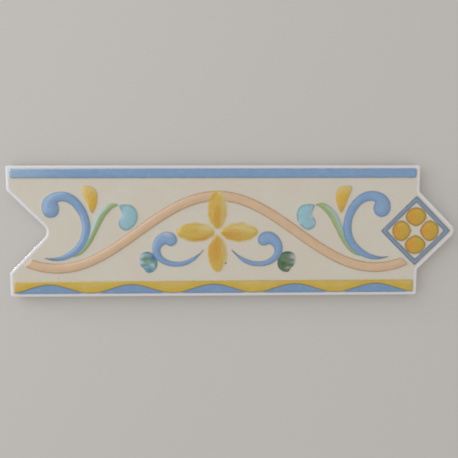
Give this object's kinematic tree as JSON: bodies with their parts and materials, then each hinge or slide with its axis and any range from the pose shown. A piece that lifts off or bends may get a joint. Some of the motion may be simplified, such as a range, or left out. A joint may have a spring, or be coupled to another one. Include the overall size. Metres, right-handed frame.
{
  "type": "border tile",
  "caption": "Glazed ceramic border tile with low scrollwork relief, a V notch at one end and a matching point at the other, so that tiles interlock end to end.",
  "frame": {"origin": "middle of the rectangular body, on the plane of the back, which is on the floor", "axes": "+X along the tile from the notched end to the pointed end, +Y across it from the wavy strip to the plain strip, +Z out of the decorated face"},
  "size_m": [0.272, 0.08, 0.0089],
  "materials": {
    "glaze": "bright transparent glaze over ivory, with blue, yellow, peach, green and turquoise on the relief; bare buff biscuit on the back and lower sides"
  },
  "bodies": {
    "root": {"border_tile": "glaze"}
  },
  "joints": []
}
